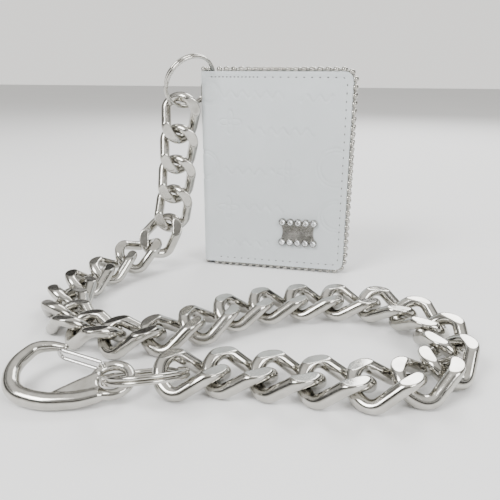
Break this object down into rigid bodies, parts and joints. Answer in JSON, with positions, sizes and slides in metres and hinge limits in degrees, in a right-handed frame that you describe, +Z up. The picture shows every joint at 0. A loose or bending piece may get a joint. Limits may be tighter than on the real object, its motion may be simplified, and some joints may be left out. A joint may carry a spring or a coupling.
{
  "type": "chain wallet",
  "caption": "Upright folding wallet with ball trim and a set ornament, on a heavy twisted curb chain that ends in a snap hook for a belt loop.",
  "frame": {"origin": "middle of the footprint of the whole object as it lies, on the ground", "axes": "+Z up; +X along the closed wallet from the spine fold to its open edge; +Y from the front cover to the back cover"},
  "size_m": [0.1954, 0.1714, 0.1191],
  "materials": {
    "outer_leather": "matt off-white with a faint debossed pattern",
    "lining": "matt",
    "pocket_leather": "matt",
    "trim_metal": "polished nickel",
    "fitting_metal": "polished nickel",
    "stone": "faceted clear stone",
    "chain_metal": "polished nickel plate on steel",
    "ring_wire": "polished nickel plate on steel",
    "hook_metal": "polished nickel plate",
    "gate_wire": "polished wire"
  },
  "bodies": {
    "spine": {"spine_leather": "outer_leather", "spine_eyelet": "fitting_metal", "spine_top_balls": "trim_metal", "spine_bottom_balls": "trim_metal"},
    "front_cover": {"front_cover_leather": "outer_leather", "front_ball_trim": "trim_metal", "front_lining": "lining", "front_upper_pocket": "pocket_leather", "front_lower_pocket": "pocket_leather", "ornament_plate": "fitting_metal", "stone_01": "stone", "stone_02": "stone", "stone_03": "stone", "stone_04": "stone", "stone_05": "stone", "stone_06": "stone", "stone_07": "stone", "stone_08": "stone", "stone_09": "stone", "stone_10": "stone"},
    "back_cover": {"back_cover_leather": "outer_leather", "back_ball_trim": "trim_metal", "back_lining": "lining", "back_upper_pocket": "pocket_leather", "back_lower_pocket": "pocket_leather", "bill_divider": "pocket_leather", "card_window_frame": "pocket_leather"},
    "wallet_ring": {"wallet_split_ring": "ring_wire"},
    "link_01": {"chain_link_01": "chain_metal"},
    "link_02": {"chain_link_02": "chain_metal"},
    "link_03": {"chain_link_03": "chain_metal"},
    "link_04": {"chain_link_04": "chain_metal"},
    "link_05": {"chain_link_05": "chain_metal"},
    "link_06": {"chain_link_06": "chain_metal"},
    "link_07": {"chain_link_07": "chain_metal"},
    "link_08": {"chain_link_08": "chain_metal"},
    "link_09": {"chain_link_09": "chain_metal"},
    "link_10": {"chain_link_10": "chain_metal"},
    "link_11": {"chain_link_11": "chain_metal"},
    "link_12": {"chain_link_12": "chain_metal"},
    "link_13": {"chain_link_13": "chain_metal"},
    "link_14": {"chain_link_14": "chain_metal"},
    "link_15": {"chain_link_15": "chain_metal"},
    "link_16": {"chain_link_16": "chain_metal"},
    "link_17": {"chain_link_17": "chain_metal"},
    "link_18": {"chain_link_18": "chain_metal"},
    "link_19": {"chain_link_19": "chain_metal"},
    "link_20": {"chain_link_20": "chain_metal"},
    "link_21": {"chain_link_21": "chain_metal"},
    "link_22": {"chain_link_22": "chain_metal"},
    "link_23": {"chain_link_23": "chain_metal"},
    "link_24": {"chain_link_24": "chain_metal"},
    "link_25": {"chain_link_25": "chain_metal"},
    "link_26": {"chain_link_26": "chain_metal"},
    "link_27": {"chain_link_27": "chain_metal"},
    "link_28": {"chain_link_28": "chain_metal"},
    "link_29": {"chain_link_29": "chain_metal"},
    "hook_ring": {"hook_split_ring": "ring_wire"},
    "hook": {"hook_body": "hook_metal"},
    "gate": {"hook_gate": "gate_wire"}
  },
  "joints": [
    {"name": "front_cover_fold", "type": "hinge", "parent": "spine", "child": "front_cover", "pos_m": [-0.03614, 0.06965, 0.05649], "axis": [0, 0, -1], "range_deg": [0, 30]},
    {"name": "back_cover_fold", "type": "hinge", "parent": "spine", "child": "back_cover", "pos_m": [-0.03614, 0.08565, 0.05649], "axis": [0, 0, 1], "range_deg": [0, 120]},
    {"name": "wallet_ring_swing", "type": "hinge", "parent": "spine", "child": "wallet_ring", "pos_m": [-0.04024, 0.07765, 0.09864], "axis": [0, 0, -1], "range_deg": [-15, 3]},
    {"name": "link_01_swing", "type": "hinge", "parent": "wallet_ring", "child": "link_01", "pos_m": [-0.0514, 0.06831, 0.09704], "axis": [0.9707, -0.2262, -0.0813], "range_deg": [-12, 6]},
    {"name": "link_02_swing", "type": "hinge", "parent": "link_01", "child": "link_02", "pos_m": [-0.05349, 0.06759, 0.07405], "axis": [0.3878, 0.9195, -0.0641], "range_deg": [-15, 18]},
    {"name": "link_03_swing", "type": "hinge", "parent": "link_02", "child": "link_03", "pos_m": [-0.05505, 0.06706, 0.05693], "axis": [-0.3878, -0.9195, 0.0641], "range_deg": [-18, 18]},
    {"name": "link_04_swing", "type": "hinge", "parent": "link_03", "child": "link_04", "pos_m": [-0.05686, 0.06616, 0.03984], "axis": [0.4339, 0.8968, -0.0867], "range_deg": [-18, 18]},
    {"name": "link_05_swing", "type": "hinge", "parent": "link_04", "child": "link_05", "pos_m": [-0.05933, 0.06389, 0.02295], "axis": [0.5039, 0.8482, -0.1632], "range_deg": [-18, 18]},
    {"name": "link_06_swing", "type": "hinge", "parent": "link_05", "child": "link_06", "pos_m": [-0.06754, 0.05196, 0.01161], "axis": [-0.5361, -0.523, 0.6626], "range_deg": [-18, 18]},
    {"name": "link_07_swing", "type": "hinge", "parent": "link_06", "child": "link_07", "pos_m": [-0.07842, 0.03735, 0.00939], "axis": [-0.5717, 0.0926, 0.8152], "range_deg": [-18, 18]},
    {"name": "link_08_swing", "type": "hinge", "parent": "link_07", "child": "link_08", "pos_m": [-0.08518, 0.02168, 0.00718], "axis": [-0.7392, 0.2192, 0.6369], "range_deg": [-18, 17]},
    {"name": "link_09_swing", "type": "hinge", "parent": "link_08", "child": "link_09", "pos_m": [-0.08848, 0.00479, 0.0065], "axis": [0.752, -0.1468, -0.6427], "range_deg": [-5, 18]},
    {"name": "link_10_swing", "type": "hinge", "parent": "link_09", "child": "link_10", "pos_m": [-0.08459, -0.01218, 0.00663], "axis": [0.762, 0.0902, -0.6413], "range_deg": [-11, 18]},
    {"name": "link_11_swing", "type": "hinge", "parent": "link_10", "child": "link_11", "pos_m": [-0.07508, -0.02679, 0.00711], "axis": [0.6927, 0.3323, -0.6401], "range_deg": [-9, 18]},
    {"name": "link_12_swing", "type": "hinge", "parent": "link_11", "child": "link_12", "pos_m": [-0.06087, -0.03698, 0.0075], "axis": [-0.5283, -0.5579, 0.64], "range_deg": [-18, 7]},
    {"name": "link_13_swing", "type": "hinge", "parent": "link_12", "child": "link_13", "pos_m": [-0.04373, -0.04073, 0.00775], "axis": [0.2669, 0.7204, -0.6402], "range_deg": [-3, 18]},
    {"name": "link_14_swing", "type": "hinge", "parent": "link_13", "child": "link_14", "pos_m": [-0.02675, -0.03578, 0.00788], "axis": [0.0984, -0.7622, 0.6398], "range_deg": [-18, 5]},
    {"name": "link_15_swing", "type": "hinge", "parent": "link_14", "child": "link_15", "pos_m": [-0.01387, -0.02368, 0.00799], "axis": [0.4351, -0.6334, 0.6399], "range_deg": [-18, 18]},
    {"name": "link_16_swing", "type": "hinge", "parent": "link_15", "child": "link_16", "pos_m": [-0.00299, -0.01021, 0.00805], "axis": [0.5587, -0.525, 0.6421], "range_deg": [-18, 18]},
    {"name": "link_17_swing", "type": "hinge", "parent": "link_16", "child": "link_17", "pos_m": [0.01037, 0.00064, 0.00786], "axis": [-0.5071, 0.5745, -0.6425], "range_deg": [-18, 18]},
    {"name": "link_18_swing", "type": "hinge", "parent": "link_17", "child": "link_18", "pos_m": [0.02553, 0.00888, 0.0074], "axis": [0.415, -0.645, 0.6417], "range_deg": [-18, 18]},
    {"name": "link_19_swing", "type": "hinge", "parent": "link_18", "child": "link_19", "pos_m": [0.04214, 0.01366, 0.00699], "axis": [-0.2759, 0.7158, -0.6415], "range_deg": [-18, 18]},
    {"name": "link_20_swing", "type": "hinge", "parent": "link_19", "child": "link_20", "pos_m": [0.05941, 0.01485, 0.00672], "axis": [-0.1175, 0.7579, -0.6417], "range_deg": [-18, 3]},
    {"name": "link_21_swing", "type": "hinge", "parent": "link_20", "child": "link_21", "pos_m": [0.07538, 0.00741, 0.00658], "axis": [-0.22, -0.7361, 0.6401], "range_deg": [-5, 18]},
    {"name": "link_22_swing", "type": "hinge", "parent": "link_21", "child": "link_22", "pos_m": [0.08621, -0.00652, 0.00635], "axis": [-0.5266, -0.56, 0.6396], "range_deg": [-3, 18]},
    {"name": "link_23_swing", "type": "hinge", "parent": "link_22", "child": "link_23", "pos_m": [0.08919, -0.02396, 0.00617], "axis": [-0.7278, -0.2476, 0.6396], "range_deg": [-3, 18]},
    {"name": "link_24_swing", "type": "hinge", "parent": "link_23", "child": "link_24", "pos_m": [0.08295, -0.04059, 0.00606], "axis": [0.7543, -0.1486, -0.6395], "range_deg": [-18, 3]},
    {"name": "link_25_swing", "type": "hinge", "parent": "link_24", "child": "link_25", "pos_m": [0.06923, -0.05187, 0.00598], "axis": [-0.5781, 0.5066, 0.6396], "range_deg": [-3, 18]},
    {"name": "link_26_swing", "type": "hinge", "parent": "link_25", "child": "link_26", "pos_m": [0.05179, -0.05511, 0.00595], "axis": [0.2574, -0.7241, -0.6399], "range_deg": [-18, 15]},
    {"name": "link_27_swing", "type": "hinge", "parent": "link_26", "child": "link_27", "pos_m": [0.03442, -0.05427, 0.00595], "axis": [-0.0372, 0.766, 0.6417], "range_deg": [-18, 18]},
    {"name": "link_28_swing", "type": "hinge", "parent": "link_27", "child": "link_28", "pos_m": [0.01721, -0.05413, 0.00612], "axis": [0, 0.766, 0.6428], "range_deg": [-18, 18]},
    {"name": "link_29_swing", "type": "hinge", "parent": "link_28", "child": "link_29", "pos_m": [0.00016, -0.05648, 0.00649], "axis": [0.0681, -0.7634, -0.6423], "range_deg": [-15, 18]},
    {"name": "hook_ring_swing", "type": "hinge", "parent": "link_29", "child": "hook_ring", "pos_m": [-0.01564, -0.0636, 0.00689], "axis": [0.2452, -0.7271, -0.6412], "range_deg": [-2, 10]},
    {"name": "hook_swing", "type": "hinge", "parent": "hook_ring", "child": "hook", "pos_m": [-0.03298, -0.07003, 0.00643], "axis": [0.0687, -0.9028, 0.4246], "range_deg": [-12, 5]},
    {"name": "gate_hinge", "type": "hinge", "parent": "hook", "child": "gate", "pos_m": [-0.03601, -0.06539, 0.00807], "axis": [0.0633, -0.3229, 0.9443], "range_deg": [0, 25], "stiffness_Nm_per_rad": 0.02}
  ]
}
